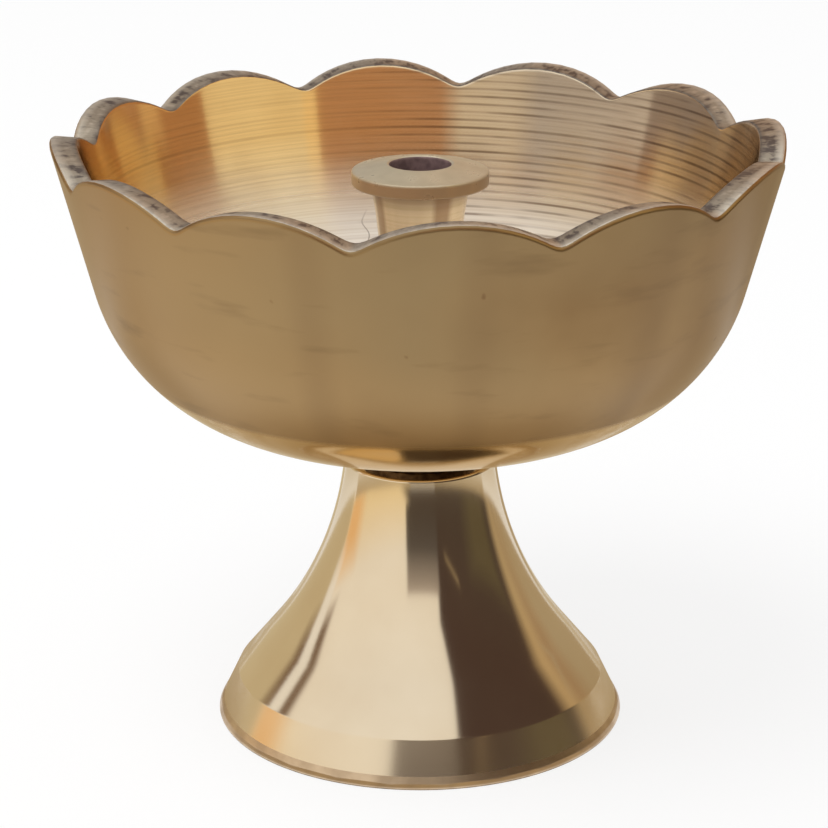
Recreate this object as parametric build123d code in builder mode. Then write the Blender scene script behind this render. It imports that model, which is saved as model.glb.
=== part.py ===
from build123d import *

import os
from math import cos, radians, sin, tan

# Butter lamp of turned cast brass: a petal-rimmed bowl on a flared foot, held
# together by the screw shank of a wick holder that stands in the bowl.
# Millimetres, +Z up, origin on the table under the lamp's axis.

# Bowl
rim_diameter = 56.0  # across opposite petal tips
lamp_height = 47.3  # table to petal tips
petal_count = 12
petal_height = 2.2  # tips above the corners between petals
valley_round = 0.9  # in those corners
wall_lean = 14.6  # degrees from upright
belly_radius = 14.9  # outside round between wall and underside
underside_rise = 16.2  # degrees from level
bowl_wall = 2.0
boss_diameter = 8.6  # turned pad under the bowl that sits on the foot
boss_height = 0.95

# Foot
foot_height = 21.2
base_diameter = 32.6
base_lip_height = 0.95  # steep lip under the band
base_lip_diameter = 31.8  # at the top of the lip
base_edge_break = 0.2
band_height = 3.45  # table to the top of the bevelled band round the base
band_top_diameter = 29.2
cone_lean = 39.3  # degrees from upright, straight stretch above the band
cone_height = 3.1
neck_diameter = 11.9
neck_edge_break = 0.25
neck_solid = 8.2  # tapped depth of the neck
base_ring_width = 2.9  # flat ring that the lamp stands on
hollow_crown_diameter = 11.4

# Wick holder
holder_height = 20.4  # bowl floor to the mouth of the wick bore
flange_diameter = 10.5
flange_edge = 1.05
flange_crown = 0.6  # rise of the flange top towards the bore
column_diameter = 7.6
column_wall = 0.6  # brass left round the wick bore at the waist
collar_diameter = 9.0
collar_thickness = 1.4
wick_bore_diameter = 4.7
wick_bore_depth = 12.0
shank_diameter = 5.0
shank_stick_out = 1.0  # below the tapped neck
shank_chamfer = 0.5

# Fits
thread_clearance = 0.05  # shank in the tapped neck, on the radius
shank_clearance = 0.15  # shank in the bowl floor, on the radius
collar_margin = 0.5  # flat floor beyond the collar

# Places worked out from the sizes
rim_radius = rim_diameter / 2
boss_radius = boss_diameter / 2
base_radius = base_diameter / 2
shank_radius = shank_diameter / 2
lean = tan(radians(wall_lean))
rise = tan(radians(underside_rise))
valley_height = lamp_height - petal_height
valley_radius = rim_radius - petal_height * lean
boss_top = foot_height + boss_height
floor_seat_radius = collar_diameter / 2 + collar_margin
hollow_height = foot_height - neck_solid


def wall_and_underside_corner(inset):
    """Where the wall line meets the underside line, both moved in by inset."""
    wall_radius = rim_radius - inset / cos(radians(wall_lean))
    underside_height = boss_top - boss_radius * rise + inset / cos(radians(underside_rise))
    radius = (wall_radius - (lamp_height - underside_height) * lean) / (1 - rise * lean)
    return radius, underside_height + radius * rise


def inner_floor_height(radius):
    """Height of the bowl's inner slope at a radius."""
    corner_radius, corner_height = wall_and_underside_corner(bowl_wall)
    return corner_height - (corner_radius - radius) * rise


floor_height = inner_floor_height(floor_seat_radius)
holder_top = floor_height + holder_height

# Rim trim: a ring over the rim with the petals taken out of it. Each petal is the top of
# a cylinder that lies straight out through the wall. The ridges left between them are
# rounded, and so are the corners that they cut.
petal_half_width = valley_radius * tan(radians(180 / petal_count))
petal_radius = (petal_half_width**2 + petal_height**2) / (2 * petal_height)
petal_planes = [
    Plane(
        origin=(0, 0, lamp_height - petal_radius),
        x_dir=(-sin(angle), cos(angle), 0),
        z_dir=(cos(angle), sin(angle), 0),
    )
    for angle in (radians(360 * index / petal_count) for index in range(petal_count))
]
trim_reach = rim_radius + bowl_wall
trim_bore_radius = rim_radius / 2

with BuildPart() as rim_trim:
    with BuildSketch(Plane.XY.offset(valley_height - petal_height)):
        Circle(trim_reach)
        Circle(trim_bore_radius, mode=Mode.SUBTRACT)
    extrude(amount=3 * petal_height)
    with BuildSketch(*petal_planes):
        Circle(petal_radius)
    extrude(amount=2 * trim_reach, mode=Mode.SUBTRACT)
    fillet(rim_trim.edges().filter_by(GeomType.ELLIPSE), radius=valley_round)

# Bowl: one turned profile with a cone wall, a round belly and a sloping underside,
# drilled for the shank and cut to petals at the rim.
rim_wall_width = bowl_wall / cos(radians(wall_lean))

with BuildPart() as bowl:
    with BuildSketch(Plane.XZ):
        with BuildLine():
            FilletPolyline(
                (0, foot_height),
                (boss_radius, foot_height),
                (boss_radius, boss_top),
                wall_and_underside_corner(0),
                (rim_radius, lamp_height),
                (rim_radius - rim_wall_width, lamp_height),
                wall_and_underside_corner(bowl_wall),
                (floor_seat_radius, floor_height),
                (0, floor_height),
                radius=[0, 0, 0, belly_radius, 0, 0, belly_radius - bowl_wall, 0, 0],
                close=True,
            )
        make_face()
    revolve(axis=Axis.Z)
    with Locations((0, 0, floor_height)):
        Hole(radius=shank_radius + shank_clearance)
    add(rim_trim.part, mode=Mode.SUBTRACT)

# Foot: a trumpet with a bevelled band at the base, hollow below and tapped in the neck.
band_top = Vector(band_top_diameter / 2, band_height)
cone_direction = Vector(-sin(radians(cone_lean)), cos(radians(cone_lean)))
cone_top = band_top + cone_direction * (cone_height / cos(radians(cone_lean)))
neck_edge = Vector(neck_diameter / 2, foot_height)

with BuildPart() as foot:
    with BuildSketch(Plane.XZ):
        with BuildLine():
            Polyline((0, 0), (base_radius, 0), (base_lip_diameter / 2, base_lip_height), band_top)
            cone_line = Line(band_top, cone_top)
            TangentArc(cone_top, neck_edge, tangent=cone_line % 1)
            Polyline(neck_edge, (0, foot_height), (0, 0))
        make_face()
    revolve(axis=Axis.Z)
    chamfer(foot.faces().sort_by(Axis.Z)[0].edges(), length=base_edge_break)
    chamfer(foot.faces().sort_by(Axis.Z)[-1].edges(), length=neck_edge_break)
    with BuildSketch(Plane.XZ):
        with BuildLine():
            Polyline(
                (0, 0),
                (base_radius - base_ring_width, 0),
                (hollow_crown_diameter / 2, hollow_height),
                (0, hollow_height),
                close=True,
            )
        make_face()
    revolve(axis=Axis.Z, mode=Mode.SUBTRACT)
    with Locations((0, 0, foot_height)):
        Hole(radius=shank_radius + thread_clearance)

# Wick holder: a waisted column with a crowned flange on top, a collar that clamps
# the bowl floor and a shank that screws into the neck of the foot.
flange_top = holder_top - flange_crown
flange_bottom = flange_top - flange_edge
collar_top = floor_height + collar_thickness
shank_bottom = hollow_height - shank_stick_out
waist_radius = wick_bore_diameter / 2 + column_wall
waist_height = (collar_top + flange_bottom) / 2

with BuildPart() as wick_holder:
    with BuildSketch(Plane.XZ):
        with BuildLine():
            Polyline(
                (0, shank_bottom),
                (shank_radius - shank_chamfer, shank_bottom),
                (shank_radius, shank_bottom + shank_chamfer),
                (shank_radius, floor_height),
                (collar_diameter / 2, floor_height),
                (collar_diameter / 2, collar_top),
                (column_diameter / 2, collar_top),
            )
            ThreePointArc(
                (column_diameter / 2, collar_top),
                (waist_radius, waist_height),
                (column_diameter / 2, flange_bottom),
            )
            Polyline(
                (column_diameter / 2, flange_bottom),
                (flange_diameter / 2, flange_bottom),
                (flange_diameter / 2, flange_top),
                (wick_bore_diameter / 2, holder_top),
                (0, holder_top),
                (0, shank_bottom),
            )
        make_face()
    revolve(axis=Axis.Z)
    with Locations((0, 0, holder_top)):
        Hole(radius=wick_bore_diameter / 2, depth=wick_bore_depth)

os.makedirs("parts", exist_ok=True)
bowl.part.label = "bowl"
export_step(bowl.part, "parts/bowl.step")
foot.part.label = "foot"
export_step(foot.part, "parts/foot.step")
wick_holder.part.label = "wick_holder"
export_step(wick_holder.part, "parts/wick_holder.step")

print("volumes", round(bowl.part.volume), round(foot.part.volume), round(wick_holder.part.volume))
print("floor height", round(floor_height, 3), "holder top", round(holder_top, 3))
print("shank bottom", round(shank_bottom, 3), "hollow height", round(hollow_height, 3))
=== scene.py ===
# %% [markdown]
# # A small brass butter lamp
# The lamp is three turned pieces of brass: a bowl whose rim is filed into petals, a
# trumpet foot, and a wick holder that screws down through the bowl into the foot.
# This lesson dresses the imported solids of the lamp. They stay as the frame that carries
# every piece made here, and the pieces keep to their sizes.

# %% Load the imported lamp
from functools import partialmethod
from math import acos, asin, atan2, cos, hypot, pi, radians, sin, tan

import bpy
from mathutils import Matrix, Vector


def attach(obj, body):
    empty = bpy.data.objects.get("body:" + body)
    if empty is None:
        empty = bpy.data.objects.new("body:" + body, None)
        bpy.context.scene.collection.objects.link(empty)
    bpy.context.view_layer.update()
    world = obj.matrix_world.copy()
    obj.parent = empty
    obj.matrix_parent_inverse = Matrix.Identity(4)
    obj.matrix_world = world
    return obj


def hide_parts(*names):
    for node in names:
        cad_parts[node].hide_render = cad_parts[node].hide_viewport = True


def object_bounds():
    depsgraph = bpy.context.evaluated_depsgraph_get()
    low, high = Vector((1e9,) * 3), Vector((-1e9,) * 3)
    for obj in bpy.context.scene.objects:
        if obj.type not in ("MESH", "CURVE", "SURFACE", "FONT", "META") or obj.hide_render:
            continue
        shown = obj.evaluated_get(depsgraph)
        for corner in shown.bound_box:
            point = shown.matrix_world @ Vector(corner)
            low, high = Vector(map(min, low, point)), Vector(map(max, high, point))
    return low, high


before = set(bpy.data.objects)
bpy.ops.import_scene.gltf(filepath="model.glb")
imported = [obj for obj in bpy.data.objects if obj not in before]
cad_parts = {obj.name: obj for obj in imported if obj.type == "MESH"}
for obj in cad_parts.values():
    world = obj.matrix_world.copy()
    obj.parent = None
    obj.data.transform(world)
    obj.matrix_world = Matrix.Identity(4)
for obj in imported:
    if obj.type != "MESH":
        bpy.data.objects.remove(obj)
MM = 0.001
cad_box = [list(corner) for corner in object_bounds()]
print("lamp height in mm", round(cad_box[1][2] / MM, 2))

# %% [markdown]
# ## Camera first
# The picture was taken close up, from a little above the rim, with a long lens. The
# camera's place was worked out from the rim's ellipse, the foot and the petals. A petal
# points a few degrees to its right, so it stands a few degrees round from -Y.

# %% Camera
CAMERA_TURN = radians(-6.77)
CAMERA_REACH = 209.0 * MM
CAMERA_HEIGHT = 95.5 * MM
CAMERA_PITCH = radians(18.73)
CAMERA_SIDE_AIM = radians(0.13)


def placed(name, data):
    """A new object that shows its data in the scene."""
    thing = bpy.data.objects.new(name, data)
    bpy.context.scene.collection.objects.link(thing)
    return thing


camera_data = bpy.data.cameras.new("camera")
camera_data.sensor_width = 36.0
camera_data.lens = 122.5
camera_data.clip_start = 0.01
scene = bpy.context.scene
camera = placed("camera", camera_data)
camera.location = (sin(CAMERA_TURN) * CAMERA_REACH, -cos(CAMERA_TURN) * CAMERA_REACH, CAMERA_HEIGHT)
camera.rotation_euler = (pi / 2 - CAMERA_PITCH, 0, CAMERA_TURN + CAMERA_SIDE_AIM)
scene.camera = camera
scene.view_settings.view_transform = "Standard"
print("camera at", [round(value, 4) for value in camera.location])

# %% [markdown]
# ## A bench for node trees
# The shapes and the finishes below are node trees. Writing out every node and link would
# bury the idea of each tree, so a small bench adds a node and fills its inputs with
# numbers or with other nodes' outputs.


# %% Node bench
class Bench:
    """Adds nodes to one tree and joins them."""

    def __init__(self, tree):
        self.tree = tree

    def fill(self, socket, value):
        if isinstance(value, bpy.types.NodeSocket):
            self.tree.links.new(value, socket)
        else:
            socket.default_value = value

    def add(self, kind, inputs=None, **settings):
        node = self.tree.nodes.new(kind)
        for name, value in settings.items():
            setattr(node, name, value)
        for key, value in (inputs or {}).items():
            self.fill(node.inputs[key], value)
        return node

    def out(self, kind, inputs=None, **settings):
        """The first output of a new node."""
        return self.add(kind, inputs, **settings).outputs[0]

    def math(self, operation, *values):
        return self.out("ShaderNodeMath", dict(enumerate(values)), operation=operation)

    plus = partialmethod(math, "ADD")
    minus = partialmethod(math, "SUBTRACT")
    over = partialmethod(math, "DIVIDE")

    def times(self, *values):
        product = values[0]
        for value in values[1:]:
            product = self.math("MULTIPLY", product, value)
        return product

    def gap(self, first, second):
        """How far apart two values lie."""
        return self.math("ABSOLUTE", self.minus(first, second))

    def place_here(self):
        return self.out("GeometryNodeInputPosition")

    def named(self, name, kind="FLOAT"):
        """A value that a mesh carries under a name."""
        return self.out("GeometryNodeInputNamedAttribute", {"Name": name}, data_type=kind)

    def moved(self, geometry, **move):
        """The geometry with its points at a Position, or moved by an Offset."""
        return self.out("GeometryNodeSetPosition", {"Geometry": geometry, **move})

    def between(self, value, low, high, to_low=0.0, to_high=1.0):
        inputs = {"Value": value, "From Min": low, "From Max": high, "To Min": to_low, "To Max": to_high}
        return self.out("ShaderNodeMapRange", inputs)

    def vector(self, x, y, z):
        return self.out("ShaderNodeCombineXYZ", {"X": x, "Y": y, "Z": z})

    def split(self, vector):
        """Height of a place, its distance from the axis and its angle round it."""
        parts = self.add("ShaderNodeSeparateXYZ", {"Vector": vector}).outputs
        x, y, z = parts["X"], parts["Y"], parts["Z"]
        squares = self.plus(self.times(x, x), self.times(y, y))
        return {"z": z, "radius": self.math("SQRT", squares), "angle": self.math("ARCTAN2", y, x)}

    def round_axis(self, radius, angle, height):
        """The place at a radius, an angle and a height."""
        x, y = (self.times(radius, self.math(part, angle)) for part in ("COSINE", "SINE"))
        return self.vector(x, y, height)


def emptied_tree(owner):
    """The node tree of a material or a world, with its nodes taken out."""
    owner.use_nodes = True
    owner.node_tree.nodes.clear()
    return owner.node_tree


def shape_tree(name, sizes):
    """A geometry tree with named inputs: its bench, the inputs' sockets and the end socket."""
    tree = bpy.data.node_groups.new(name, "GeometryNodeTree")
    tree.is_modifier = True
    for side in ("OUTPUT", "INPUT"):
        tree.interface.new_socket("Geometry", in_out=side, socket_type="NodeSocketGeometry")
    for label in sizes:
        kind = "NodeSocketInt" if label in ("Steps round", "Seed") else "NodeSocketFloat"
        tree.interface.new_socket(label, in_out="INPUT", socket_type=kind)
    bench = Bench(tree)
    given = bench.add("NodeGroupInput").outputs
    end = bench.add("NodeGroupOutput").inputs["Geometry"]
    return bench, given, end


print("bench ready")

# %% [markdown]
# ## Turned outlines
# Everything on this lamp came off a lathe, so each piece is one outline spun round the
# axis. An outline is written as corners: radius, height, the round on that corner, the
# finish of the run that starts there, and how closely the run is stepped. Straight runs
# get a step close to each end, so that a small round beside them stays crisp when the
# surface is shaded smooth.


# %% Outline helper
END_STEP = 0.1  # millimetres from each end of a straight run to its first step


def eased_corner(before, here, after, ease, step):
    """Points of the round on a corner between two straight runs."""
    back = (before - here).normalized()
    onward = (after - here).normalized()
    half = acos(max(-1.0, min(1.0, back.dot(onward)))) / 2
    middle = here + (back + onward).normalized() * (ease / sin(half))
    first = here + back * (ease / tan(half)) - middle
    turn = pi - 2 * half
    sense = -1 if back.x * onward.y > back.y * onward.x else 1
    steps = max(3, round(turn * ease / step))
    start = atan2(first.y, first.x)
    angles = [start + sense * turn * number / steps for number in range(steps + 1)]
    return [middle + Vector((cos(angle), sin(angle))) * ease for angle in angles]


def turned_outline(corners, closed):
    """Points of an outline in millimetres, each with the finish of the run after it."""
    count = len(corners)
    places = [Vector(corner[:2]) for corner in corners]
    rounds = []
    for number, (_, _, ease, _, step) in enumerate(corners):
        before, here, after = places[number - 1], places[number], places[(number + 1) % count]
        rounds.append(eased_corner(before, here, after, ease, step) if ease else [here])
    outline = []
    for number in range(count if closed else count - 1):
        finish, step = corners[number][3:]
        finish_before = corners[number - 1][3]
        points = rounds[number]
        for order, point in enumerate(points):
            outline.append((point, finish_before if order < len(points) // 2 else finish))
        start, stop = points[-1], rounds[(number + 1) % count][0]
        length = (stop - start).length
        margin = min(END_STEP, length / 4)
        steps = max(1, round((length - 2 * margin) / step))
        for order in range(steps + 1):
            along = margin + (length - 2 * margin) * order / steps
            outline.append((start.lerp(stop, along / length), finish))
    outline.append(outline[0] if closed else (places[-1], corners[-1][3]))
    return outline


def outline_object(name, corners, closed=True, ring_depths=None):
    """A chain of points for the lathe. Some finishes carry tool rings of a given depth."""
    outline = turned_outline(corners, closed)
    mesh = bpy.data.meshes.new(name)
    places = [(point.x * MM, 0, point.y * MM) for point, finish in outline]
    mesh.from_pydata(places, [(number, number + 1) for number in range(len(places) - 1)], [])
    along = [0.0]
    for (x0, _, z0), (x1, _, z1) in zip(places, places[1:]):
        along.append(along[-1] + hypot(x1 - x0, z1 - z0))
    depths = [(ring_depths or {}).get(finish, 0.0) * MM for point, finish in outline]
    mesh.attributes.new("finish", "INT", "POINT").data.foreach_set("value", [f for _, f in outline])
    mesh.attributes.new("along", "FLOAT", "POINT").data.foreach_set("value", along)
    mesh.attributes.new("ring_depth", "FLOAT", "POINT").data.foreach_set("value", depths)
    return placed(name, mesh)


print("outline helper ready")

# %% [markdown]
# ## The lathe
# A screw modifier could spin an outline, but would forget which run a face came from.
# This tree spins it as a grid instead: each row of the grid is one point of the outline,
# each column one step round the axis. Faces keep their finish, and points keep the ring
# depth and the distance along the outline for later trees.

# %% Lathe tree
SAME_PLACE = 1e-6  # metres between points that are one
bench, given, end = shape_tree("lathe", ["Steps round"])


def on_outline(value, kind, at):
    """Reads a value of the outline's point number at."""
    inputs = {"Geometry": given["Geometry"], "Value": value, "Index": at}
    return bench.out("GeometryNodeSampleIndex", inputs, data_type=kind)


point_count = bench.out("GeometryNodeAttributeDomainSize", {"Geometry": given["Geometry"]})
columns = bench.plus(given["Steps round"], 1.0)
grid = bench.add("GeometryNodeMeshGrid", {"Vertices X": point_count, "Vertices Y": columns})
number = bench.plus(bench.out("GeometryNodeInputIndex"), 0.5)
row = bench.math("FLOOR", bench.over(number, columns))
column = bench.math("FLOOR", bench.minus(number, bench.times(row, columns)))
face_row = bench.math("FLOOR", bench.over(number, given["Steps round"]))
angle = bench.times(column, bench.over(2 * pi, given["Steps round"]))
outline_place = bench.split(on_outline(bench.place_here(), "FLOAT_VECTOR", row))
spun = bench.round_axis(outline_place["radius"], angle, outline_place["z"])
turned = bench.moved(grid.outputs["Mesh"], Position=spun)
for name, kind, domain, at in (
    ("along", "FLOAT", "POINT", row),
    ("ring_depth", "FLOAT", "POINT", row),
    ("finish", "INT", "FACE", face_row),
):
    inputs = {"Geometry": turned, "Name": name, "Value": on_outline(bench.named(name, kind), kind, at)}
    turned = bench.out("GeometryNodeStoreNamedAttribute", inputs, data_type=kind, domain=domain)
closed_up = bench.out("GeometryNodeMergeByDistance", {"Geometry": turned, "Distance": SAME_PLACE})
facing_out = bench.out("GeometryNodeFlipFaces", {"Mesh": closed_up})
bench.fill(end, bench.out("GeometryNodeSetShadeSmooth", {"Geometry": facing_out}))
lathe = bench.tree
print("lathe tree", len(lathe.nodes), "nodes")

# %% [markdown]
# ## Petals along the rim
# The rim is filed into petals after turning. Every petal is part of a circle, and where
# two meet the file leaves a small round. The tree lowers the top of the wall to the
# petals' height at each angle and slides it along the wall's slope, so the wall below
# stays where the lathe left it. Real petals are a few degrees out of step: each corner
# between two petals has its own slip, read by its number. Columns are drawn together
# at the corners, where the outline bends most.

# %% Petal tree
PETALS = 12
PETAL_STEP = 2 * pi / PETALS
CORNER_SLIPS = [0.5, -0.3, 0.3, 1.1, 0.5, 0.3, -0.8, 0.2, -0.2, -1.7, -1.3, -2.0]  # degrees
GATHER = 0.55  # how far columns are drawn to the corners, from 0 to 1
FULL_CUT = 0.6 * MM  # below the tips, where the wall is lowered by the whole cut
NUDGE = 1e-4  # settles which petal a corner column belongs to
bench, given, end = shape_tree(
    "petal_rim", ["Tip height", "Petal radius", "Wall kept below", "Wall slope", "Corner round"]
)
at = bench.split(bench.place_here())
turns = bench.plus(bench.over(at["angle"], PETAL_STEP), PETALS + 0.5)
petal = bench.math("FLOOR", bench.plus(turns, NUDGE))
even = bench.minus(bench.minus(turns, petal), 0.5)
gathered = bench.math("SINE", bench.times(even, 2 * pi))
across = bench.plus(even, bench.times(gathered, GATHER / (2 * pi)))


def petal_drop(offset):
    """How far the petal that stands offset petals away lies below its tip here."""
    turn = bench.times(bench.plus(across, offset), PETAL_STEP)
    sideways = bench.times(at["radius"], bench.math("SINE", turn))
    reach = given["Petal radius"]
    square = bench.minus(bench.times(reach, reach), bench.times(sideways, sideways))
    return bench.minus(reach, bench.math("SQRT", bench.math("MAXIMUM", square, 0.0)))


def corner_slip(corner):
    """The slip of a corner between petals, in radians."""
    node = bench.add("GeometryNodeIndexSwitch", data_type="FLOAT")
    while len(node.index_switch_items) < PETALS:
        node.index_switch_items.new()
    bench.fill(node.inputs["Index"], bench.math("MODULO", bench.plus(corner, 0.5), PETALS))
    for socket, slip in zip(list(node.inputs)[1:], CORNER_SLIPS):
        socket.default_value = radians(slip)
    return node.outputs[0]


nearest = bench.math("SMOOTH_MIN", petal_drop(-1.0), petal_drop(1.0), given["Corner round"])
drop = bench.math("SMOOTH_MIN", petal_drop(0.0), nearest, given["Corner round"])
full_cut = bench.minus(given["Tip height"], FULL_CUT)
share = bench.between(at["z"], given["Wall kept below"], full_cut)
lowered = bench.times(bench.math("MAXIMUM", drop, 0.0), share)
slip_here, slip_next = corner_slip(petal), corner_slip(bench.plus(petal, 1.0))
slip_change = bench.times(bench.minus(slip_next, slip_here), bench.plus(across, 0.5))
middle = bench.times(bench.minus(petal, PETALS), PETAL_STEP)
even_angle = bench.plus(middle, bench.times(across, PETAL_STEP))
new_angle = bench.plus(even_angle, bench.plus(slip_here, slip_change))
new_radius = bench.minus(at["radius"], bench.times(lowered, given["Wall slope"]))
new_place = bench.round_axis(new_radius, new_angle, bench.minus(at["z"], lowered))
inputs = {"Geometry": given["Geometry"], "Name": "along", "Value": bench.plus(bench.named("along"), lowered)}
along_cut = bench.out("GeometryNodeStoreNamedAttribute", inputs, data_type="FLOAT")
bench.fill(end, bench.moved(along_cut, Position=new_place))
petal_rim = bench.tree
print("petal tree", len(petal_rim.nodes), "nodes")

# %% [markdown]
# ## Tool rings
# Inside the bowl the tool was fed quickly, and every turn left a shallow groove with a
# ridge beside it. A bump could fake them, but they are wide enough to see as ridges, so
# the tree moves the surface in and out along its normal. A seeded random value makes
# some ridges higher than others.

# %% Ring tree
RIDGE_TOP = 0.4  # of the ring depth, above the turned surface
LUCK_LEAST, LUCK_SPREAD = 0.4, 1.2
bench, given, end = shape_tree("tool_rings", ["Feed", "Seed"])
turns = bench.over(bench.named("along"), given["Feed"])
ring = bench.math("FLOOR", bench.plus(turns, 0.5))
from_ridge = bench.math("ABSOLUTE", bench.math("SINE", bench.times(turns, pi)))
random = bench.add("FunctionNodeRandomValue", {"ID": ring, "Seed": given["Seed"]}, data_type="FLOAT")
luck = bench.plus(bench.times(random.outputs[1], LUCK_SPREAD), LUCK_LEAST)
height = bench.times(bench.named("ring_depth"), luck, bench.minus(RIDGE_TOP, from_ridge))
normal = bench.out("GeometryNodeInputNormal")
push = bench.out("ShaderNodeVectorMath", {0: normal, "Scale": height}, operation="SCALE")
bench.fill(end, bench.moved(given["Geometry"], Offset=push))
tool_rings = bench.tree
print("ring tree", len(tool_rings.nodes), "nodes")

# %% [markdown]
# ## Screw thread
# The shank of the wick holder is cut with a coarse thread, and the neck of the foot is
# tapped to match. A thread is a ridge that climbs by one pitch in each turn, so the tree
# only has to compare each point's height with its angle. It fades out at both ends. A
# positive depth cuts outwards, as a tap does in a hole.

# %% Thread tree
WALL_MARGIN = 0.02 * MM  # points this near the thread radius are cut
FADES_PER_PITCH = 1.2  # how quickly the thread fades at its ends
bench, given, end = shape_tree("screw_thread", ["Pitch", "Depth", "Thread radius", "Low end", "High end"])
at = bench.split(bench.place_here())
climb = bench.minus(bench.over(at["z"], given["Pitch"]), bench.over(at["angle"], 2 * pi))
groove = bench.times(bench.gap(bench.math("FRACT", climb), 0.5), 2.0)
on_wall = bench.math("LESS_THAN", bench.gap(at["radius"], given["Thread radius"]), WALL_MARGIN)
fade = bench.over(given["Pitch"], FADES_PER_PITCH)
from_low = bench.over(bench.minus(at["z"], given["Low end"]), fade)
from_high = bench.over(bench.minus(given["High end"], at["z"]), fade)
nearer_end = bench.math("MINIMUM", bench.math("MINIMUM", from_low, from_high), 1.0)
inside_ends = bench.math("MAXIMUM", nearer_end, 0.0)
cut = bench.times(groove, on_wall, inside_ends, given["Depth"])
new_place = bench.round_axis(bench.plus(at["radius"], cut), at["angle"], at["z"])
bench.fill(end, bench.moved(given["Geometry"], Position=new_place))
screw_thread = bench.tree
print("thread tree", len(screw_thread.nodes), "nodes")

# %% [markdown]
# ## Finishes
# All three pieces are brass, but each face was left differently: filed, turned, satin,
# polished or blackened by burning. A metal shows what stands round it, so its colour
# node says how it tints that. These materials read the object's own coordinates, turned
# into a distance from the axis and an angle, because marks on turned work either run
# round the axis or climb straight up it.


# %% Finish bench
class FinishBench(Bench):
    """A bench with the nodes that the finishes share."""

    def __init__(self, name, **sockets):
        self.material = bpy.data.materials.new(name)
        super().__init__(emptied_tree(self.material))
        self.shader = self.add("ShaderNodeBsdfPrincipled", {"Metallic": 1.0, **sockets})
        self.add("ShaderNodeOutputMaterial", {"Surface": self.shader.outputs["BSDF"]})
        self.place = self.add("ShaderNodeTexCoord").outputs["Object"]
        self.at = self.split(self.place)

    def noise(self, vector, scale, detail=2.0, roughness=0.5):
        inputs = {"Vector": vector, "Scale": scale, "Detail": detail, "Roughness": roughness}
        return self.add("ShaderNodeTexNoise", inputs).outputs["Fac"]

    def rising(self, low, high, *ends):
        """A share that changes between two heights in millimetres."""
        return self.between(self.at["z"], low * MM, high * MM, *ends)

    def blend(self, share, first, second):
        first, second = ((*side, 1.0) if isinstance(side, tuple) else side for side in (first, second))
        return self.add("ShaderNodeMix", {"Factor": share, 6: first, 7: second}, data_type="RGBA").outputs[2]

    def layers(self, colour, *layers):
        """The colour under layers, each with its share and its own colour, the last on top."""
        for share, layer in layers:
            colour = self.blend(share, colour, layer)
        return colour

    def bump(self, height, distance, strength=1.0):
        inputs = {"Height": height, "Distance": distance * MM, "Strength": strength}
        return self.out("ShaderNodeBump", inputs)

    def finish(self, colour, roughness, normal=None):
        self.fill(self.shader.inputs["Base Color"], colour)
        self.fill(self.shader.inputs["Roughness"], roughness)
        if normal is not None:
            self.fill(self.shader.inputs["Normal"], normal)
        return self.material


def mottled(name, colours, scale, detail, rough, bump=None, noise_rough=0.5, **sockets):
    """A finish whose two colours, roughness and bump all follow one noise."""
    bench = FinishBench(name, **sockets)
    noise = bench.noise(bench.place, scale, detail, noise_rough)
    roughness = bench.between(noise, 0.3, 0.7, *rough) if isinstance(rough, tuple) else rough
    colour = bench.blend(bench.between(noise, 0.35, 0.65), *colours)
    return bench.finish(colour, roughness, bench.bump(noise, *bump) if bump else None)


print("finish bench ready")

# %% [markdown]
# ### Bowl, outside
# The outside was rubbed to a satin after turning: a khaki gold that drifts between gold,
# brown and grey in soft clouds, with faint bands up the wall, smudges round it and a few
# small brown spots. Light is painted on it too: one side is painted a brighter gold as if
# lit, the other edge paler as a painted sheen, and the belly warmer as a painted golden
# reflection. Under the belly the rubbing stopped, and the brass still mirrors the foot.

# %% Satin outside
RUBBING_ENDS = 29.0
KHAKI = (0.262, 0.162, 0.072), (0.325, 0.208, 0.094)
DRIFT_GREY = (0.325, 0.237, 0.122)
# Painted light on the outside: a lit side, a sheen on the far edge and a golden reflection on the belly.
PAINTED_LIT_GOLD = (0.46, 0.295, 0.13)
PAINTED_SHEEN = (0.47, 0.34, 0.19)
BELLY_REFLECTION_GOLD = (0.45, 0.295, 0.14)
BAND_BROWN = (0.22, 0.135, 0.065)
SMUDGE_BROWN = (0.17, 0.105, 0.05)
SPOT_BROWN = (0.15, 0.07, 0.03)
MIRROR_BRASS = (0.68, 0.49, 0.25)
satin = FinishBench("bowl_satin")
z, angle = satin.at["z"], satin.at["angle"]
sideways = satin.times(satin.at["radius"], satin.math("COSINE", angle))
cloud = satin.noise(satin.place, 110.0, 3.0)
drift = satin.noise(satin.place, 45.0, 2.0)
bands = satin.noise(satin.vector(satin.times(angle, 2.4), 0.0, 0.0), 1.0, 2.0)
smudges = satin.noise(satin.round_axis(25.0 * MM, angle, satin.times(z, 5.0)), 130.0, 3.0)
spots = satin.noise(satin.place, 620.0, 1.0)
rubbed = satin.layers(
    satin.blend(satin.between(cloud, 0.35, 0.65), *KHAKI),
    (satin.between(drift, 0.42, 0.66, 0.0, 0.55), DRIFT_GREY),
    # Painted light: one side brighter gold, as if lit.
    (satin.between(sideways, -22.0 * MM, -4.0 * MM, 0.6, 0.0), PAINTED_LIT_GOLD),
    # Painted sheen: the far right edge paler.
    (satin.between(sideways, 18.0 * MM, 25.0 * MM, 0.0, 0.5), PAINTED_SHEEN),
    # Painted reflection: the belly more golden.
    (satin.rising(30.0, 37.5, 0.5, 0.0), BELLY_REFLECTION_GOLD),
    (satin.between(bands, 0.52, 0.68, 0.0, 0.4), BAND_BROWN),
    (satin.between(smudges, 0.58, 0.75, 0.0, 0.35), SMUDGE_BROWN),
    (satin.between(spots, 0.79, 0.84, 0.0, 0.6), SPOT_BROWN),
)
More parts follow.
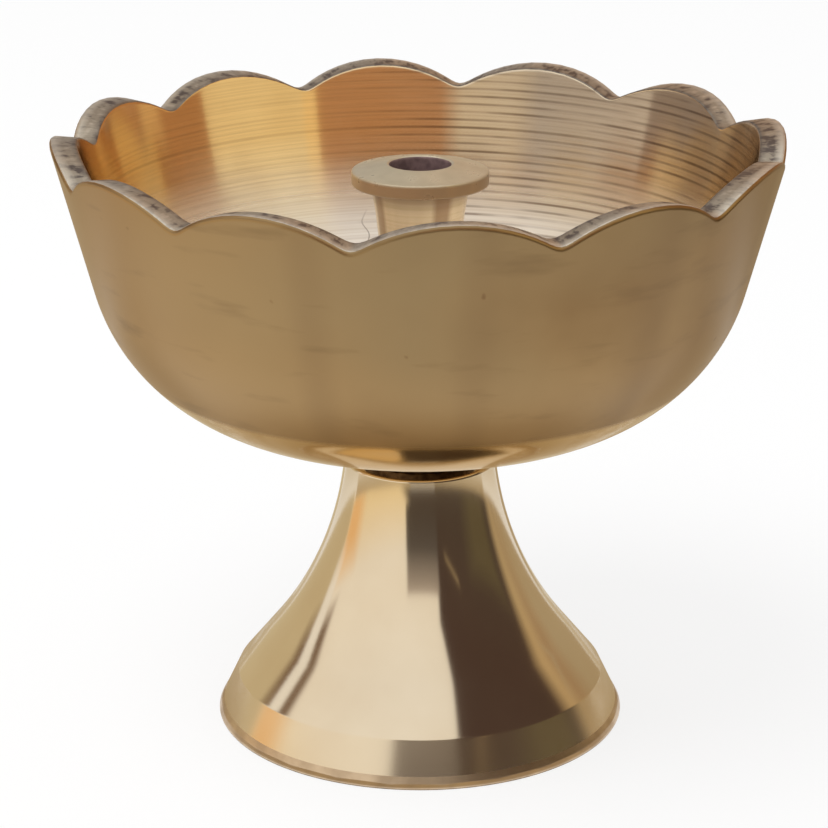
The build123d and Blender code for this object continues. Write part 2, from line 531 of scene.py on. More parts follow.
satin_colour = satin.blend(satin.rising(RUBBING_ENDS, RUBBING_ENDS + 0.5), MIRROR_BRASS, rubbed)
rubbed_rough = satin.rising(RUBBING_ENDS, RUBBING_ENDS + 0.6, 0.1, 0.34)
satin_rough = satin.plus(rubbed_rough, satin.between(cloud, 0.3, 0.7, 0.0, 0.05))
turning = satin.noise(satin.vector(satin.at["radius"], z, 0.0), 4000.0, 1.0)
bowl_satin = satin.finish(satin_colour, satin_rough, satin.bump(turning, 0.003, 0.3))
print("made", bowl_satin.name)

# %% [markdown]
# ### Rim
# The petals' top faces were cut with a file and left as they were: dull, grey brown and
# mottled, with dark pits that the file jumped over and bright places where it bit. The
# outer edge carries a painted highlight, and a dark line follows the inner edge. The petals'
# edges lean with the wall, so a point's place across the rim allows for the wall's slope.

# %% Filed rim
EDGE_SLOPE = 0.26
PIT, FILED_GREY, FILED_BRIGHT = (0.10, 0.08, 0.07), (0.31, 0.265, 0.205), (0.47, 0.405, 0.32)
# The first colour on this line is a painted highlight along the outer edge.
EDGE_HIGHLIGHT, DARK_EDGE = (0.66, 0.60, 0.50), (0.11, 0.085, 0.07)
filed = FinishBench("rim_filed", Metallic=0.55)
radius = filed.at["radius"]
round_rim = filed.times(filed.at["angle"], 27.0 * MM)
across_rim = filed.minus(radius, filed.times(filed.at["z"], EDGE_SLOPE))
mottle = filed.noise(filed.vector(round_rim, filed.times(radius, 0.5), 0.0), 1250.0, 3.0, 0.6)
hairs = filed.noise(filed.vector(round_rim, filed.times(radius, 0.1), 0.0), 5000.0, 1.0)
bite = filed.plus(filed.times(mottle, 0.85), filed.times(hairs, 0.15))
filed_colour = filed.layers(
    filed.blend(filed.between(bite, 0.41, 0.50), PIT, FILED_GREY),
    (filed.between(bite, 0.56, 0.68), FILED_BRIGHT),
    # Painted highlight along the outer edge.
    (filed.between(across_rim, 14.7 * MM, 15.2 * MM, 0.0, 0.55), EDGE_HIGHLIGHT),
    (filed.between(across_rim, 13.7 * MM, 14.2 * MM, 0.6, 0.0), DARK_EDGE),
)
filed_rough = filed.between(mottle, 0.3, 0.7, 0.42, 0.3)
rim_filed = filed.finish(filed_colour, filed_rough, filed.bump(bite, 0.05, 0.6))
print("made", rim_filed.name)

# %% [markdown]
# ### Bowl, inside
# The wall is bright from the tool and shows itself in itself. Each bounce takes a little
# more blue out, so its colour here is plain brass and the bowl does the rest. The tool's
# fine lines run round the bowl and smear each reflection up and down the wall, which is
# what the tangent is for. Towards the floor a pale dull film hides most of the mirror.
# Painted shade lies in the grooves of the tool rings, most of it on one side, where a
# grey painted reflection lies on the brass too, and the floor has a few curly scratches.
# The groove that a point lies in comes from the distance along the outline.

# %% Turned inside
RING_FEED = 0.66 * MM
# The side where painted shade in the grooves and a grey painted reflection lie.
PAINTED_SIDE = 0.7  # radians round from +X
WALL_BRASS = (0.82, 0.62, 0.37), (0.76, 0.56, 0.32)
FLOOR_FILM = (0.90, 0.86, 0.79), (0.84, 0.79, 0.71)
# The first colour on this line is a grey painted reflection.
GREY_REFLECTION, LINE_BROWN = (0.73, 0.62, 0.47), (0.45, 0.33, 0.2)
# The first colour on this line is painted shade for the grooves.
GROOVE_SHADE, SCRATCH_BROWN = (0.2, 0.13, 0.08), (0.16, 0.1, 0.07)
inner = FinishBench("bowl_turned", **{"Anisotropic": 0.9, "Anisotropic Rotation": 0.25})
z, angle = inner.at["z"], inner.at["angle"]
off_side = inner.gap(angle, PAINTED_SIDE)
haze = inner.between(inner.noise(inner.place, 160.0, 3.0), 0.35, 0.7)
fine = inner.noise(inner.vector(inner.at["radius"], z, 0.0), 5200.0, 2.0)
up_wall = inner.rising(35.0, 42.0)
brass = inner.blend(up_wall, inner.blend(haze, *FLOOR_FILM), inner.blend(haze, *WALL_BRASS))
# Painted grey reflection, strongest on one side and high on the wall.
grey_reflection = inner.times(inner.between(off_side, 0.45, 0.9, 0.85, 0.0), inner.rising(32.0, 38.0, 0.2, 1.0))

turns = inner.over(inner.add("ShaderNodeAttribute", attribute_name="along").outputs["Fac"], RING_FEED)
ring_number = inner.times(inner.math("FLOOR", turns), 1.7)
luck = inner.noise(inner.vector(inner.times(angle, 2.5), ring_number, 0.0), 1.0, 3.0)
# Painted shade in the grooves of the tool rings, most of it on one side.
groove_shade = inner.times(
    inner.between(inner.gap(inner.math("FRACT", turns), 0.5), 0.06, 0.22, 1.0, 0.0),
    inner.between(luck, 0.35, 0.62),
    inner.between(off_side, 0.6, 1.0, 0.8, 0.14),
    inner.rising(29.0, 36.0, 0.4, 1.0),
)
scratch = inner.times(
    inner.between(inner.gap(inner.noise(inner.place, 260.0, 1.0), 0.5), 0.004, 0.012, 0.6, 0.0),
    inner.between(inner.noise(inner.place, 170.0, 1.0), 0.6, 0.68),
    inner.rising(34.0, 38.0, 1.0, 0.0),
)
brass = inner.layers(
    brass,
    (grey_reflection, GREY_REFLECTION),
    (inner.between(fine, 0.42, 0.62, 0.0, 0.22), LINE_BROWN),
    (groove_shade, GROOVE_SHADE),
    (scratch, SCRATCH_BROWN),
)
backward = inner.times(inner.math("SINE", angle), -1.0)
inner.fill(inner.shader.inputs["Tangent"], inner.vector(backward, inner.math("COSINE", angle), 0.0))
inner.fill(inner.shader.inputs["Metallic"], inner.rising(32.0, 40.0, 0.3, 1.0))
inner_rough = inner.rising(33.0, 40.0, 0.4, 0.16)
bowl_turned = inner.finish(brass, inner_rough, inner.bump(fine, 0.003, 0.4))
print("made", bowl_turned.name)

# %% [markdown]
# ### Foot
# The foot was polished until it mirrors the room, with only the faintest turning lines
# left. The band round its base keeps more of them and mirrors more softly. The lip that
# it stands on is worn dull and painted darker as shade. Its hollow was left rough, and
# where the bowl meets the foot, the bowl's boss and hole are painted dark as shade.

# %% Polished foot
BAND_EDGE = (3.3, 3.6)
POLISHED_BRASS = (0.77, 0.66, 0.50), (0.72, 0.60, 0.44)
# Worn brass, darkened with painted shade, for the lip.
WORN_AND_SHADED_BRASS = (0.52, 0.40, 0.28), (0.66, 0.52, 0.37)
ROUGH_BROWN = (0.16, 0.1, 0.05), (0.34, 0.23, 0.12)
# A painted shade for the bowl's boss and hole, where the bowl meets the foot.
JOINT_SHADE = (0.06, 0.035, 0.02), (0.14, 0.09, 0.05)
polish = FinishBench("foot_polish")
lines = polish.noise(polish.vector(0.0, polish.at["z"], 0.0), 3500.0, 2.0)
smudge = polish.noise(polish.place, 120.0, 3.0)
foot_colour = polish.blend(polish.between(smudge, 0.35, 0.7), *POLISHED_BRASS)
foot_rough = polish.rising(*BAND_EDGE, 0.19, 0.11)
line_height = polish.times(lines, polish.rising(*BAND_EDGE, 1.0, 0.4))
foot_polish = polish.finish(foot_colour, foot_rough, polish.bump(line_height, 0.002, 0.4))
# The lip: worn dull and painted darker as shade.
foot_lip = mottled("foot_lip", WORN_AND_SHADED_BRASS, 500.0, 3.0, rough=(0.42, 0.3), bump=(0.02, 0.4))
foot_hollow = mottled(
    "foot_hollow", ROUGH_BROWN, 1400.0, 4.0, rough=(0.6, 0.45), bump=(0.08, 0.6), noise_rough=0.65
)
# Painted shade where the bowl meets the foot.
joint_grime = mottled("joint_grime", JOINT_SHADE, 1800.0, 3.0, rough=(0.55, 0.4))
print("made the finishes of the foot")

# %% [markdown]
# ### Wick holder
# The holder's crown is dulled by handling, and painted browner down its side as shade.
# The column is bright, with two brown streaks down it that are painted reflections, and
# painted shade under the flange. The wick bore is a dull brown, where the wick has burnt.

# %% Holder finishes
# The second colour is the crown's side, painted browner as shade.
CROWN_BRASS, CROWN_SIDE_SHADE = ((0.49, 0.435, 0.31), (0.55, 0.49, 0.355)), (0.44, 0.30, 0.17)
COLUMN_BRASS = (0.87, 0.72, 0.50), (0.79, 0.64, 0.42)
# Two brown streaks of painted reflection down the column.
COLUMN_REFLECTIONS = ((-2.75, 0.22), (-1.2, 0.26))  # middle and half width in radians
# A brown for the painted reflections, and a painted shade under the flange.
REFLECTION_BROWN, FLANGE_SHADE = (0.34, 0.2, 0.11), (0.2, 0.12, 0.07)
BURNT_BROWN = (0.15, 0.092, 0.09), (0.25, 0.16, 0.155)
crown = FinishBench("holder_satin", Metallic=0.45)
dust = crown.noise(crown.place, 700.0, 3.0)
crown_top = crown.blend(crown.between(dust, 0.35, 0.65), *CROWN_BRASS)
# Painted shade: the crown's side browner than its top.
crown_colour = crown.blend(crown.rising(44.0, 44.3), CROWN_SIDE_SHADE, crown_top)
holder_satin = crown.finish(crown_colour, crown.between(dust, 0.3, 0.7, 0.34, 0.26))

column = FinishBench("holder_bright")
z, angle = column.at["z"], column.at["angle"]
column_lines = column.noise(column.vector(column.at["radius"], z, 0.0), 3600.0, 2.0)
column_colour = column.layers(
    column.blend(column.between(column_lines, 0.35, 0.65), *COLUMN_BRASS),
    # Painted reflections: the two brown streaks.
    *[
        (column.between(column.gap(angle, middle), half_width / 2, half_width, 0.7, 0.0), REFLECTION_BROWN)
        for middle, half_width in COLUMN_REFLECTIONS
    ],
    # Painted shade under the flange.
    (column.rising(41.6, 43.1, 0.0, 0.8), FLANGE_SHADE),
)
holder_bright = column.finish(column_colour, 0.2, column.bump(column_lines, 0.003, 0.4))
wick_bore = mottled("wick_bore", BURNT_BROWN, 1500.0, 3.0, rough=0.55, Metallic=0.2)
print("made the finishes of the holder")

# %% [markdown]
# ## From outline to piece
# A piece is its outline with the trees stacked on it as modifiers. The last tree gives
# every face the material of its finish. Then the evaluated mesh replaces the outline, so
# the finished piece is a plain mesh at the origin.


# %% Piece maker
def dressing_tree(name, materials):
    """A tree that gives the faces of each finish their material."""
    bench, given, end = shape_tree(name, [])
    finish = bench.named("finish", "INT")
    dressed = given["Geometry"]
    for number, material in materials.items():
        integers = {2: finish, 3: number}
        chosen = bench.out("FunctionNodeCompare", integers, data_type="INT", operation="EQUAL")
        inputs = {"Geometry": dressed, "Selection": chosen, "Material": material}
        dressed = bench.out("GeometryNodeSetMaterial", inputs)
    bench.fill(end, dressed)
    return bench.tree


def finished_piece(piece, finishes, trees, steps_round):
    """Spins, shapes and dresses the outline, and turns the result into the piece's own mesh."""
    dressing = dressing_tree(f"{piece.name}_dressing", finishes)
    for tree, values in [(lathe, {"Steps round": steps_round}), *trees, (dressing, {})]:
        modifier = piece.modifiers.new(tree.name, "NODES")
        modifier.node_group = tree
        for item in tree.interface.items_tree:
            if item.in_out == "INPUT" and item.name in values:
                modifier[item.identifier] = values[item.name]
    graph = bpy.context.evaluated_depsgraph_get()
    mesh = bpy.data.meshes.new_from_object(
        piece.evaluated_get(graph), preserve_all_data_layers=True, depsgraph=graph
    )
    piece.modifiers.clear()
    piece.data = mesh
    mesh.name = piece.name
    mesh.calc_loop_triangles()
    print(piece.name, len(mesh.loop_triangles), "triangles", [m.name for m in mesh.materials if m])
    return piece


print("piece maker ready")

# %% [markdown]
# ## Bowl
# The bowl's outline runs up the outside, over the rim and down the inside to the hole
# that the holder's shank goes through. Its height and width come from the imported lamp.
# The other sizes are in millimetres, and the corners follow from them: the inside lies
# one wall in from the outside.

# %% Turn the bowl
OUTSIDE, RIM, INSIDE, HIDDEN = range(4)
RIM_RADIUS = cad_box[1][0] / MM
LAMP_HEIGHT = cad_box[1][2] / MM
FOOT_TOP = 21.2
WALL = 2.0
WALL_LEAN = radians(14.6)  # from upright
UNDERSIDE_RISE = radians(16.2)  # from level
BELLY_ROUND = 14.9
BOSS_RADIUS, BOSS_HEIGHT = 4.3, 0.95
HOLE_RADIUS = 2.65
SEAT_RADIUS = 5.0  # flat floor under the holder
INNER_EDGE_DROP = 0.22  # the rim's inner edge below its outer one
RING_DEPTH = 0.004


def belly_corner(inset):
    """Where the wall's line meets the underside's line, both moved in by inset."""
    slope, rise = tan(WALL_LEAN), tan(UNDERSIDE_RISE)
    wall = RIM_RADIUS - inset / cos(WALL_LEAN)
    underside = FOOT_TOP + BOSS_HEIGHT - BOSS_RADIUS * rise + inset / cos(UNDERSIDE_RISE)
    radius = (wall - (LAMP_HEIGHT - underside) * slope) / (1 - rise * slope)
    return radius, underside + radius * rise


inner_belly = belly_corner(WALL)
FLOOR_HEIGHT = inner_belly[1] - (inner_belly[0] - SEAT_RADIUS) * tan(UNDERSIDE_RISE)
inner_edge = RIM_RADIUS - WALL / cos(WALL_LEAN) - INNER_EDGE_DROP * tan(WALL_LEAN)
bowl_corners = [
    (HOLE_RADIUS, FOOT_TOP, 0.1, HIDDEN, 0.5),
    (BOSS_RADIUS, FOOT_TOP, 0.12, HIDDEN, 0.4),
    (BOSS_RADIUS, FOOT_TOP + BOSS_HEIGHT, 0.3, OUTSIDE, 0.5),
    (*belly_corner(0.0), BELLY_ROUND, OUTSIDE, 0.6),
    (RIM_RADIUS, LAMP_HEIGHT, 0.25, RIM, 0.15),
    (inner_edge, LAMP_HEIGHT - INNER_EDGE_DROP, 0.25, INSIDE, 0.13),
    (*inner_belly, BELLY_ROUND - WALL, INSIDE, 0.13),
    (SEAT_RADIUS, FLOOR_HEIGHT, 0.8, INSIDE, 0.3),
    (HOLE_RADIUS, FLOOR_HEIGHT, 0.1, HIDDEN, 0.5),
]
bowl = outline_object("bowl_turned_and_filed", bowl_corners, ring_depths={INSIDE: RING_DEPTH})
petal_sizes = {
    "Tip height": LAMP_HEIGHT * MM,
    "Petal radius": 12.3 * MM,
    "Wall kept below": 44.2 * MM,
    "Wall slope": tan(WALL_LEAN),
    "Corner round": 1.6 * MM,
}
# The hidden faces, the boss side among them, take the painted joint shade.
bowl_finishes = {OUTSIDE: bowl_satin, RIM: rim_filed, INSIDE: bowl_turned, HIDDEN: joint_grime}
bowl_trees = [(petal_rim, petal_sizes), (tool_rings, {"Feed": RING_FEED, "Seed": 5})]
finished_piece(bowl, bowl_finishes, bowl_trees, steps_round=18 * PETALS)
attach(bowl, "bowl")
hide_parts("bowl")

# %% [markdown]
# ## Foot
# The foot's outline goes down the hollow, round the base and up the trumpet to the flat
# top that the bowl sits on. The trumpet's curve is one corner with a very long round.

# %% Turn the foot
POLISHED, HOLLOW, TAPPED, LIP = range(4)
TAP_RADIUS = 2.55
HOLLOW_TOP = 13.0
HOLLOW_CROWN_RADIUS, HOLLOW_MOUTH_RADIUS = 5.7, 13.4
BASE_RADIUS = 16.3
LIP_TOP = (15.78, 0.95)
BAND_TOP = (14.6, 3.45)
TRUMPET_CORNER, TRUMPET_ROUND = (6.816, 12.961), 26.9
NECK_RADIUS = 5.95
THREAD_PITCH, THREAD_DEPTH = 0.8, 0.35


def thread_sizes(depth, radius, low, high):
    """Inputs of the thread tree from sizes in millimetres."""
    sizes = {"Pitch": THREAD_PITCH, "Depth": depth, "Thread radius": radius, "Low end": low, "High end": high}
    return {name: size * MM for name, size in sizes.items()}


foot_corners = [
    (TAP_RADIUS, HOLLOW_TOP, 0.0, HOLLOW, 0.6),
    (HOLLOW_CROWN_RADIUS, HOLLOW_TOP, 0.6, HOLLOW, 0.8),
    (HOLLOW_MOUTH_RADIUS, 0.0, 0.25, HOLLOW, 0.5),
    (BASE_RADIUS, 0.0, 0.15, LIP, 0.3),
    (*LIP_TOP, 0.25, POLISHED, 0.4),
    (*BAND_TOP, 0.15, POLISHED, 0.4),
    (*TRUMPET_CORNER, TRUMPET_ROUND, POLISHED, 0.4),
    (NECK_RADIUS, FOOT_TOP, 0.2, POLISHED, 0.3),
    (TAP_RADIUS, FOOT_TOP, 0.0, TAPPED, 0.13),
]
foot = outline_object("foot_turned", foot_corners)
foot_finishes = {POLISHED: foot_polish, HOLLOW: foot_hollow, TAPPED: foot_hollow, LIP: foot_lip}
foot_thread = thread_sizes(THREAD_DEPTH, TAP_RADIUS, HOLLOW_TOP, FOOT_TOP)
finished_piece(foot, foot_finishes, [(screw_thread, foot_thread)], steps_round=160)
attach(foot, "foot")
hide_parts("foot")

# %% [markdown]
# ## Wick holder
# The holder's outline starts at the end of the shank, steps out over the collar that
# clamps the bowl floor, draws in to the column's waist, and ends at the bottom of the
# wick bore.

# %% Turn the wick holder
BRIGHT, CROWN, BORE, THREAD = range(4)
SHANK_RADIUS, SHANK_CHAMFER = 2.5, 0.5
SHANK_END = HOLLOW_TOP - 1.0
COLLAR_RADIUS, COLLAR_TOP = 4.5, FLOOR_HEIGHT + 1.4
COLUMN_RADIUS, WAIST_RADIUS = 3.8, 2.95
HOLDER_TOP = FLOOR_HEIGHT + 20.4
FLANGE_TOP = HOLDER_TOP - 0.6
FLANGE_RADIUS, FLANGE_BOTTOM = 5.25, FLANGE_TOP - 1.05
BORE_RADIUS, BORE_BOTTOM = 2.35, HOLDER_TOP - 12.0
WAIST_HEIGHT = (COLLAR_TOP + FLANGE_BOTTOM) / 2


def column_radius(height):
    """Radius of the column, which draws in to its waist along a parabola."""
    from_waist = (height - WAIST_HEIGHT) / (FLANGE_BOTTOM - WAIST_HEIGHT)
    return WAIST_RADIUS + (COLUMN_RADIUS - WAIST_RADIUS) * from_waist**2


waist_heights = (28.0, 31.0, WAIST_HEIGHT, 38.0, 41.0)
holder_corners = [
    (0.0, SHANK_END, 0.0, THREAD, 0.5),
    (SHANK_RADIUS - SHANK_CHAMFER, SHANK_END, 0.0, THREAD, 0.2),
    (SHANK_RADIUS, SHANK_END + SHANK_CHAMFER, 0.0, THREAD, 0.13),
    (SHANK_RADIUS, FLOOR_HEIGHT, 0.0, BRIGHT, 0.4),
    (COLLAR_RADIUS, FLOOR_HEIGHT, 0.1, BRIGHT, 0.4),
    (COLLAR_RADIUS, COLLAR_TOP, 0.15, BRIGHT, 0.4),
    (COLUMN_RADIUS, COLLAR_TOP, 0.2, BRIGHT, 0.4),
    *[(column_radius(height), height, 8.0, BRIGHT, 0.5) for height in waist_heights],
    (COLUMN_RADIUS, FLANGE_BOTTOM, 0.15, BRIGHT, 0.3),
    (FLANGE_RADIUS, FLANGE_BOTTOM, 0.12, CROWN, 0.3),
    (FLANGE_RADIUS, FLANGE_TOP, 0.15, CROWN, 0.3),
    (BORE_RADIUS, HOLDER_TOP, 0.2, BORE, 0.5),
    (BORE_RADIUS, BORE_BOTTOM, 0.2, BORE, 0.5),
    (0.0, BORE_BOTTOM, 0.0, BORE, 0.5),
]
holder = outline_object("wick_holder_turned", holder_corners, closed=False)
holder_finishes = {BRIGHT: holder_bright, CROWN: holder_satin, BORE: wick_bore, THREAD: holder_bright}
holder_thread = thread_sizes(-THREAD_DEPTH, SHANK_RADIUS, SHANK_END + 0.4, FOOT_TOP - 0.2)
finished_piece(holder, holder_finishes, [(screw_thread, holder_thread)], steps_round=96)
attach(holder, "wick_holder")
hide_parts("wick_holder")

# %% [markdown]
# ## Floor and room
# The floor and the room behind it are white. Polished metal shows the room more than it
# shows itself, so the camera and reflections see the room at plain white, and the floor
# keeps a soft shadow by mixing in some of the light that really falls on it.


# %% Floor and room
ROOM_LIGHT, ROOM_SEEN = 0.7, 1.0  # strength as light, and where it shows
PLAIN_FLOOR = 0.8  # share of plain white in the floor where it shows
FLOOR_REACH = 1.5
LAMP_PLACE, LAMP_AIM = Vector((-0.25, -0.15, 0.7)), Vector((0, 0, 0.02))


def seen_or_mirrored(bench):
    """One for rays that show the room: from the camera, mirrored or through glass."""
    rays = bench.add("ShaderNodeLightPath").outputs
    shown = bench.math("MAXIMUM", rays["Is Camera Ray"], rays["Is Glossy Ray"])
    return bench.math("MAXIMUM", shown, rays["Is Transmission Ray"])


world = bpy.data.worlds.new("white_room")
scene.world = world
bench = Bench(emptied_tree(world))
room_strength = bench.plus(bench.times(seen_or_mirrored(bench), ROOM_SEEN - ROOM_LIGHT), ROOM_LIGHT)
room = bench.out("ShaderNodeBackground", {"Color": (1, 1, 1, 1), "Strength": room_strength})
bench.add("ShaderNodeOutputWorld", {"Surface": room})

floor_material = bpy.data.materials.new("white_floor")
bench = Bench(emptied_tree(floor_material))
lit = bench.out("ShaderNodeBsdfDiffuse", {"Color": (0.9, 0.9, 0.9, 1)})
plain = bench.out("ShaderNodeEmission", {"Color": (1, 1, 1, 1), "Strength": 1.0})
share = bench.times(seen_or_mirrored(bench), PLAIN_FLOOR)
mixed = bench.out("ShaderNodeMixShader", {"Fac": share, 1: lit, 2: plain})
bench.add("ShaderNodeOutputMaterial", {"Surface": mixed})

floor_mesh = bpy.data.meshes.new("floor")
floor_corners = [(x * FLOOR_REACH, y * FLOOR_REACH, 0) for x, y in ((-1, -1), (1, -1), (1, 1), (-1, 1))]
floor_mesh.from_pydata(floor_corners, [], [(0, 1, 2, 3)])
floor_mesh.materials.append(floor_material)
floor = placed("floor", floor_mesh)

lamp_data = bpy.data.lights.new("soft_lamp", "AREA")
lamp_data.shape = "DISK"
lamp_data.size = 0.5
lamp_data.energy = 3.2
soft_lamp = placed("soft_lamp", lamp_data)
soft_lamp.location = LAMP_PLACE
soft_lamp.rotation_euler = (LAMP_AIM - LAMP_PLACE).to_track_quat("-Z", "Y").to_euler()
soft_lamp.visible_glossy = False
print("floor, room and lamp ready")

# %% [markdown]
# ## Cards round the lamp
# In an all white room polished brass looks flat. Photographers stand dark and coloured
# cards round a metal object, outside the picture, for it to mirror. Here they are bent
# sheets that glow with their own tint, like dim lamps, and that only mirrored rays can
# see. Their angles are degrees to the right of the camera, and their lengths are millimetres.

# %% Card makers
CARD_STEPS = 24
card_material = bpy.data.materials.new("studio_card")
bench = Bench(emptied_tree(card_material))
tint = bench.add("ShaderNodeAttribute", attribute_name="tint").outputs["Color"]
cover = bench.add("ShaderNodeAttribute", attribute_name="cover").outputs["Fac"]
clear = bench.out("ShaderNodeBsdfTransparent")
# Each card glows with its own tint.
glow = bench.out("ShaderNodeEmission", {"Color": tint, "Strength": 1.0})
mixed = bench.out("ShaderNodeMixShader", {"Fac": cover, 1: clear, 2: glow})
bench.add("ShaderNodeOutputMaterial", {"Surface": mixed})


def studio_card(name, rows, places, covers, tints):
    """A sheet through columns of places in millimetres, each with its cover and its tint."""
    corners = [number for number in range(len(places) - rows) if (number + 1) % rows]
    faces = [(first, first + rows, first + rows + 1, first + 1) for first in corners]
    mesh = bpy.data.meshes.new(name)
    mesh.from_pydata([Vector(place) * MM for place in places], [], faces)
    mesh.attributes.new("cover", "FLOAT", "POINT").data.foreach_set("value", covers)
    mesh.attributes.new("tint", "FLOAT_COLOR", "POINT").data.foreach_set("color", tints)
    mesh.materials.append(card_material)
    card = placed(name, mesh)
    card.visible_camera = False
    card.visible_diffuse = False
    card.visible_shadow = False


def bent_card(name, sides, low, high, colours, place_at, soft=(0.0, 0.0, 0.0, 0.0), lean=0.0):
    """A card between two angles and two heights, bent round the lamp.

    low and high are heights, or pairs of heights at the left and the right side. colours is
    one colour, or the colours at the bottom and the top. soft gives the share of the card
    over which its left, right, bottom and top fade out. lean turns the top of the left side.
    place_at says where an angle and a height lie.
    """
    left, right = sides
    (low_left, low_right), (high_left, high_right) = (
        edge if isinstance(edge, tuple) else (edge, edge) for edge in (low, high)
    )
    foot_colour, head_colour = colours if isinstance(colours[0], tuple) else (colours, colours)
    soft_left, soft_right, soft_low, soft_high = soft
    steps = {step / CARD_STEPS for step in range(CARD_STEPS + 1)}
    across = sorted(steps | {soft_left, 1 - soft_right})
    upward = sorted(steps | {soft_low, 1 - soft_high})
    places, covers, tints = [], [], []
    for u in across:
        bottom = low_left + (low_right - low_left) * u
        top = high_left + (high_right - high_left) * u
        for v in upward:
            angle = left + lean * v + (right - left - lean * v) * u
            places.append(place_at(angle, bottom + (top - bottom) * v))
            edges = ((u, soft_left), (1 - u, soft_right), (v, soft_low), (1 - v, soft_high))
            covers.append(min(min(1.0, gap / width) if width else 1.0 for gap, width in edges))
            tints += [foot + (head - foot) * v for foot, head in zip(foot_colour, head_colour)] + [1.0]
    studio_card(name, len(upward), places, covers, tints)


print("card makers ready")

# %% [markdown]
# ### Cards for the foot
# The foot mirrors a low tent: a wall, a strip of table and a roof that stays under the
# bowl's rim, so that the inside of the bowl never sees it. A card of the tent is given
# by directions, in degrees to the right of the camera and degrees above level. The foot
# mirrors such a direction where its face looks halfway between it and the camera. The
# maker starts there and follows the direction to the tent.
# On the left the foot mirrors a warm cream, with a thin bright strip between two brown
# patches, and khaki beyond. On the right it mirrors one large dark shape, and brown beyond.

# %% Cards for the foot
TENT_REACH = 120.0
TENT_ROOF = 46.0
TENT_TABLE = 0.5
FOOT_MIDDLE = 8.0
TO_CAMERA = Vector((0.0, -CAMERA_REACH, CAMERA_HEIGHT - FOOT_MIDDLE * MM)).normalized()
CONE_LEAN = radians(39.3)
FLARE_CENTRE = Vector((33.5, 24.1))  # of the arc that the trumpet's side follows
FLARE_RADIUS = 27.7


def foot_card(name, sides, low, high, colours, layer=0, **edges):
    """A card given by the directions that the foot mirrors. Higher layers are in front."""

    def on_tent(turn, rise):
        turn, rise = radians(turn), radians(rise)
        heading = Vector((sin(turn), -cos(turn)))
        face = (Vector((*heading * cos(rise), sin(rise))) + TO_CAMERA).normalized()
        tilt = min(max(asin(face.z), 0.0), CONE_LEAN)
        radius, height = FLARE_CENTRE - Vector((cos(tilt), sin(tilt))) * FLARE_RADIUS
        start = face.to_2d().normalized() * radius
        middle = start.dot(heading)
        far = (middle**2 + (TENT_REACH - layer) ** 2 - radius**2) ** 0.5 - middle
        if rise > 0:
            far = min(far, (TENT_ROOF - layer / 4 - height) / tan(rise))
        elif rise < 0:
            far = min(far, (height - TENT_TABLE - layer / 10) / tan(-rise))
        place = start + heading * far
        place.rotate(Matrix.Rotation(CAMERA_TURN, 2))
        return (*place, height + far * tan(rise))

    bent_card(name, sides, low, high, colours, on_tent, **edges)


UMBER = (0.085, 0.065, 0.05)
UMBER_HIGH = (0.078, 0.049, 0.041)
SLATE = (0.11, 0.095, 0.085)
STONE = (0.47, 0.41, 0.365)
OLIVE = (0.13, 0.105, 0.06)
CREAM = (1.0, 0.955, 0.88)
WHITE = (1.0, 0.985, 0.96)
GOLD = (1.0, 0.80, 0.46)
ORANGE = (0.98, 0.62, 0.30)
CARD_KHAKI = (0.66, 0.56, 0.37)
GREY_KHAKI = (0.50, 0.43, 0.30)
BROWN = (0.2, 0.12, 0.07)
RUSSET = (0.41, 0.26, 0.15)
TAN = (0.47, 0.36, 0.21)
PALE_TAN = (0.72, 0.63, 0.47)
OCHRE = (0.62, 0.45, 0.24)

foot_card("table_front", (-104, 104), -12, -7.5, (PALE_TAN, TAN))
foot_card("table_left", (-180, -104), -50, -9, (TAN, PALE_TAN), soft=(0, 0, 0, 0.15))
foot_card("table_right", (104, 180), -50, -9, (TAN, PALE_TAN), soft=(0, 0, 0, 0.15))
foot_card("cream_low", (-106, -14), -7.5, 12, (GOLD, CREAM), layer=1)
foot_card("cream_high", (-106, -14), 12, 27, CREAM, layer=1)
foot_card("orange", (-106, -80), -7, 13, ORANGE, layer=2, soft=(0.1, 0.5, 0, 0.6))
foot_card("bright_strip", (-109, -100), 0, 34, WHITE, layer=3, soft=(0, 0.2, 0.3, 0))
foot_card("brown_left", (-117, -108), 10, 30, BROWN, layer=3, soft=(0.6, 0, 0.6, 0))
foot_card("brown_right", (-101, -92), 14, 34, BROWN, layer=3, soft=(0.1, 0.4, 0.4, 0))
foot_card("white_high", (-106, 34), 25, 57, (CREAM, WHITE))
foot_card("khaki_left", (-180, -106), -9, 34, CARD_KHAKI)
foot_card("slate_hem", (-32, 22), -7.5, -2, UMBER, layer=2, soft=(0.2, 0, 0.2, 0), lean=12)
foot_card("slate", (-20, 22), -2, 12, (UMBER, SLATE), layer=2, lean=3)
foot_card("slate_top", (-17, 22), 12, 26, (SLATE, STONE), layer=2, soft=(0.02, 0, 0, 0.04), lean=3)
foot_card("umber", (21, 109), -7.5, 35, (UMBER, UMBER_HIGH), layer=1, soft=(0, 0.1, 0, 0))
foot_card("umber_top", (21, 109), 35, 57, UMBER_HIGH, layer=1, soft=(0.02, 0.06, 0, 0), lean=13)
foot_card("olive", (55, 100), -6, 20, OLIVE, layer=2, soft=(0.4, 0.2, 0, 0.4))
foot_card("glint", (29, 46), (11.5, 19.5), (13.5, 22), TAN, layer=3, soft=(0.2, 0.1, 0.4, 0.4))
foot_card("ochre", (95, 119), -9, 36, (TAN, OCHRE), layer=0.6, soft=(0, 0.3, 0, 0))
foot_card("russet", (95, 132), -9, 36, (TAN, RUSSET), layer=0.4, soft=(0, 0.3, 0, 0))
foot_card("khaki_right", (112, 180), -9, 34, (TAN, GREY_KHAKI), layer=0.2)
print("foot cards ready")

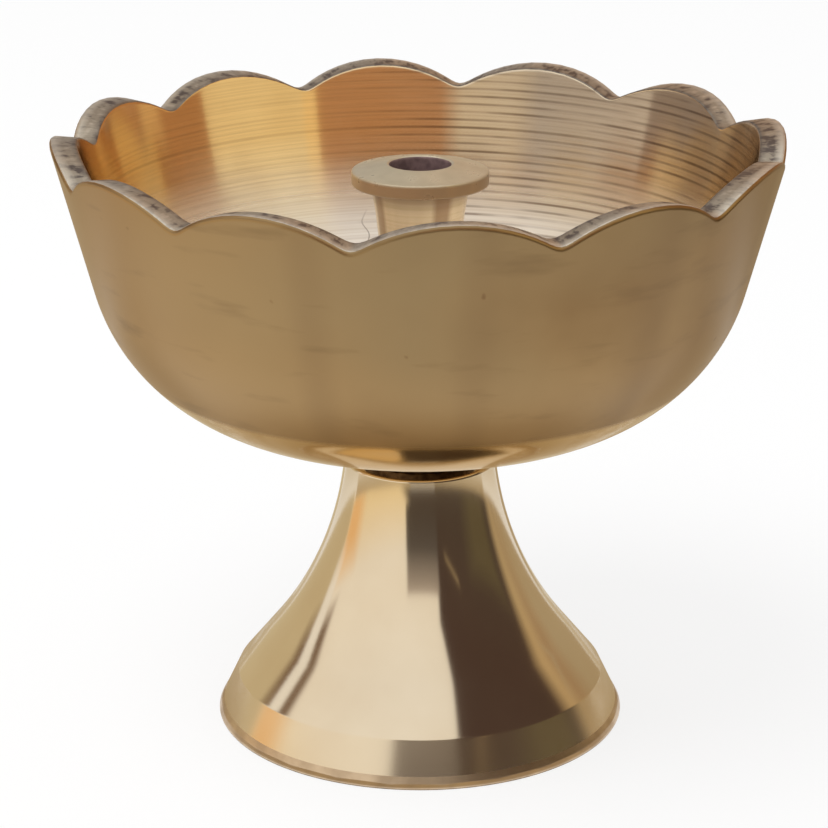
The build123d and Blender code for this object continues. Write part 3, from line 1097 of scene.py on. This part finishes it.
# %% [markdown]
# ### Cards for the bowl
# The left of the inside mirrors a bright yellow with a sharp edge, the back a copper
# orange, and the right goes from gold to a greyer brown, with one pale pillar. These
# cards stand far off, and the wall low down looks highest. The underside of the bowl
# mirrors a ring of tan table round the foot.

# %% Cards for the bowl
FAR = 500.0


def bowl_card(name, sides, low, high, colours, reach=FAR, **edges):
    """A card that stands upright at a reach round the lamp."""

    def upright(turn, height):
        angle = CAMERA_TURN - pi / 2 + radians(turn)
        return reach * cos(angle), reach * sin(angle), height

    bent_card(name, sides, low, high, colours, upright, **edges)


def table_ring(turn, reach):
    """A place on the table, for a card whose heights are distances from the axis."""
    return reach * sin(radians(turn)), -reach * cos(radians(turn)), TENT_TABLE


YELLOW = (0.94, 0.80, 0.50)
STRIP = (1.0, 0.78, 0.42)
COPPER = (0.50, 0.26, 0.125)
RUST = (0.50, 0.265, 0.125)
AMBER = (0.80, 0.54, 0.27)
PALE_GOLD = (1.0, 0.90, 0.74)
DULL_GOLD = (0.56, 0.47, 0.36)
PALE_GREY = (0.95, 0.89, 0.82)
DULL_GREY = (0.29, 0.25, 0.24)
TABLE = (0.86, 0.79, 0.67)
bowl_card("rust_left", (86, 180), 50, 800, RUST)
bowl_card("amber_left", (106, 120), 50, 800, AMBER, reach=FAR - 1, soft=(0.3, 0.3, 0, 0))
bowl_card("yellow", (45, 86), 50, 800, YELLOW, soft=(0, 0, 0, 0.2))
bowl_card("strip", (39.6, 45), 50, 500, STRIP, soft=(0, 0, 0, 0.3))
bowl_card("copper", (-16, 39.6), 50, 400, COPPER, soft=(0.15, 0, 0, 0.3))
bowl_card("gold", (-46, -8), 50, 230, (PALE_GOLD, DULL_GOLD), reach=FAR + 2, soft=(0.25, 0, 0, 0))
bowl_card("gold_high", (-46, -8), 230, 290, (DULL_GOLD, CREAM), reach=FAR + 2, soft=(0.25, 0, 0, 0.5))
bowl_card("grey", (-92, -36), 50, 230, (PALE_GREY, DULL_GREY), reach=FAR + 4)
bowl_card("grey_high", (-92, -36), 230, 340, (DULL_GREY, CREAM), reach=FAR + 4, soft=(0, 0, 0, 0.5))
bowl_card("pillar", (-110, -91), 200, 700, (PALE_GOLD, CREAM), soft=(0.1, 0.1, 0.1, 0))
bowl_card("brown", (-180, -88), 50, 800, (DULL_GREY, RUSSET), reach=FAR + 6)
bowl_card("amber_right", (-146, -132), 50, 800, AMBER, reach=FAR + 5, soft=(0.3, 0.3, 0, 0))
bent_card("table_ring", (-180, 180), 16.2, 38, (TAN, TABLE), table_ring, soft=(0, 0, 0, 0.5))
print("bowl cards ready")
